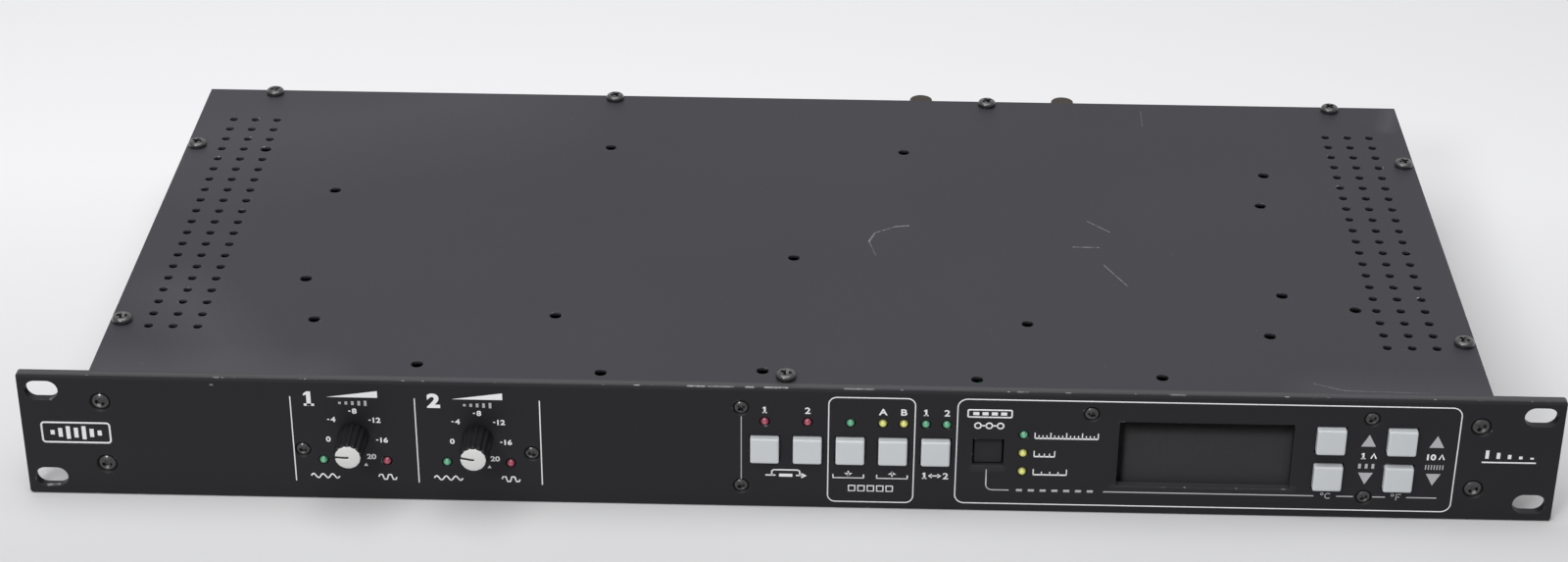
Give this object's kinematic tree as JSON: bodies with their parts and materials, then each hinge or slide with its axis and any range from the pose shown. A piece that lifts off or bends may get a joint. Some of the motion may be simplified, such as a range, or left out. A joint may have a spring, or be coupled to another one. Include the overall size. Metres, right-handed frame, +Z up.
{
  "type": "rack effects unit",
  "caption": "One-unit-high 19-inch rack processor: slotted panel with knobs, keys, lamps and display window on a shallow vented steel case with rear connectors.",
  "frame": {"origin": "centre of the flat underside of the chassis tray", "axes": "+Z up; the front panel faces -Y and the connectors +Y; +X is to the right seen from the front"},
  "size_m": [0.48, 0.231, 0.0455],
  "materials": {
    "panel_paint": "satin black powder coat",
    "case_paint": "fine-textured black paint, lightly scuffed",
    "zinc_steel": "zinc plated",
    "black_screw": "black oxide, satin",
    "board_green": "solder mask",
    "chip_black": "moulded epoxy",
    "capacitor_sleeve": "shrink sleeve",
    "bare_aluminium": "extruded",
    "knob_black": "moulded, satin",
    "cap_white": "moulded, off-white",
    "key_white": "moulded, pale grey-white",
    "key_black": "moulded, matte",
    "lamp_green": "tinted epoxy, unlit",
    "lamp_red": "tinted epoxy, unlit",
    "lamp_yellow": "tinted epoxy, unlit",
    "smoked_lens": "smoked acrylic",
    "display_face": "dark filter, segments off",
    "connector_nickel": "satin nickel",
    "latch_bronze": "dulled bronze plating",
    "socket_black": "moulded, matte",
    "contact_silver": "plated"
  },
  "bodies": {
    "chassis": {"front_panel": "panel_paint", "chassis_tray": "case_paint", "rear_panel": "case_paint", "top_cover": "case_paint", "cover_bracket": "zinc_steel", "cover_screws": "black_screw", "panel_side_screws": "black_screw", "board_screws_front": "black_screw", "board_screws_rear": "zinc_steel", "board_spacers": "zinc_steel", "main_board_screws": "zinc_steel", "main_board_standoffs": "zinc_steel", "rear_wall_screws": "black_screw", "level_board": "board_green", "control_board": "board_green", "main_board": "board_green", "signal_chips": "chip_black", "power_capacitors": "capacitor_sleeve", "heatsink": "bare_aluminium", "voltage_regulators": "chip_black", "board_headers": "chip_black", "potentiometer_1": "zinc_steel", "potentiometer_2": "zinc_steel", "key_switches": "chip_black", "green_lamps": "lamp_green", "red_lamps": "lamp_red", "yellow_lamps": "lamp_yellow", "display_lens": "smoked_lens", "display_module": "display_face", "xlr_input_1": "connector_nickel", "xlr_input_2": "connector_nickel", "xlr_output_1": "connector_nickel", "xlr_output_2": "connector_nickel", "input_inserts": "socket_black", "output_pins": "contact_silver", "input_jack_1": "socket_black", "input_jack_2": "socket_black", "output_jack_1": "socket_black", "output_jack_2": "socket_black", "jack_nuts": "connector_nickel", "supply_inlet": "socket_black", "ground_screw": "zinc_steel"},
    "level_knob_1": {"knob_1": "knob_black", "knob_cap_1": "cap_white", "pot_shaft_1": "zinc_steel"},
    "level_knob_2": {"knob_2": "knob_black", "knob_cap_2": "cap_white", "pot_shaft_2": "zinc_steel"},
    "bypass_key_1": {"bypass_button_1": "key_white"},
    "bypass_key_2": {"bypass_button_2": "key_white"},
    "store_key": {"store_button": "key_white"},
    "recall_key": {"recall_button": "key_white"},
    "channel_key": {"channel_button": "key_white"},
    "mode_key": {"mode_button": "key_black"},
    "coarse_up_key": {"coarse_up_button": "key_white"},
    "coarse_down_key": {"coarse_down_button": "key_white"},
    "fine_up_key": {"fine_up_button": "key_white"},
    "fine_down_key": {"fine_down_button": "key_white"},
    "input_latch_1": {"xlr_latch_1": "latch_bronze"},
    "input_latch_2": {"xlr_latch_2": "latch_bronze"}
  },
  "joints": [
    {"name": "level_knob_1_turn", "type": "hinge", "parent": "chassis", "child": "level_knob_1", "pos_m": [-0.1358, -0.113, 0.0234], "axis": [0, 1, 0], "range_deg": [-60, 240]},
    {"name": "level_knob_2_turn", "type": "hinge", "parent": "chassis", "child": "level_knob_2", "pos_m": [-0.0969, -0.113, 0.0234], "axis": [0, 1, 0], "range_deg": [-68, 232]},
    {"name": "bypass_key_1_press", "type": "slide", "parent": "chassis", "child": "bypass_key_1", "axis": [0, 1, 0], "range_m": [0, 0.0006], "stiffness_N_per_m": 900, "springref_m": -0.0008},
    {"name": "bypass_key_2_press", "type": "slide", "parent": "chassis", "child": "bypass_key_2", "axis": [0, 1, 0], "range_m": [0, 0.0006], "stiffness_N_per_m": 900, "springref_m": -0.0008},
    {"name": "store_key_press", "type": "slide", "parent": "chassis", "child": "store_key", "axis": [0, 1, 0], "range_m": [0, 0.0006], "stiffness_N_per_m": 900, "springref_m": -0.0008},
    {"name": "recall_key_press", "type": "slide", "parent": "chassis", "child": "recall_key", "axis": [0, 1, 0], "range_m": [0, 0.0006], "stiffness_N_per_m": 900, "springref_m": -0.0008},
    {"name": "channel_key_press", "type": "slide", "parent": "chassis", "child": "channel_key", "axis": [0, 1, 0], "range_m": [0, 0.0006], "stiffness_N_per_m": 900, "springref_m": -0.0008},
    {"name": "mode_key_press", "type": "slide", "parent": "chassis", "child": "mode_key", "axis": [0, 1, 0], "range_m": [0, 0.0006], "stiffness_N_per_m": 900, "springref_m": -0.0008},
    {"name": "coarse_up_key_press", "type": "slide", "parent": "chassis", "child": "coarse_up_key", "axis": [0, 1, 0], "range_m": [0, 0.0006], "stiffness_N_per_m": 900, "springref_m": -0.0008},
    {"name": "coarse_down_key_press", "type": "slide", "parent": "chassis", "child": "coarse_down_key", "axis": [0, 1, 0], "range_m": [0, 0.0006], "stiffness_N_per_m": 900, "springref_m": -0.0008},
    {"name": "fine_up_key_press", "type": "slide", "parent": "chassis", "child": "fine_up_key", "axis": [0, 1, 0], "range_m": [0, 0.0006], "stiffness_N_per_m": 900, "springref_m": -0.0008},
    {"name": "fine_down_key_press", "type": "slide", "parent": "chassis", "child": "fine_down_key", "axis": [0, 1, 0], "range_m": [0, 0.0006], "stiffness_N_per_m": 900, "springref_m": -0.0008},
    {"name": "input_latch_1_press", "type": "slide", "parent": "chassis", "child": "input_latch_1", "axis": [0, -1, 0], "range_m": [0, 0.0025], "stiffness_N_per_m": 900, "springref_m": -0.003},
    {"name": "input_latch_2_press", "type": "slide", "parent": "chassis", "child": "input_latch_2", "axis": [0, -1, 0], "range_m": [0, 0.0025], "stiffness_N_per_m": 900, "springref_m": -0.003}
  ]
}
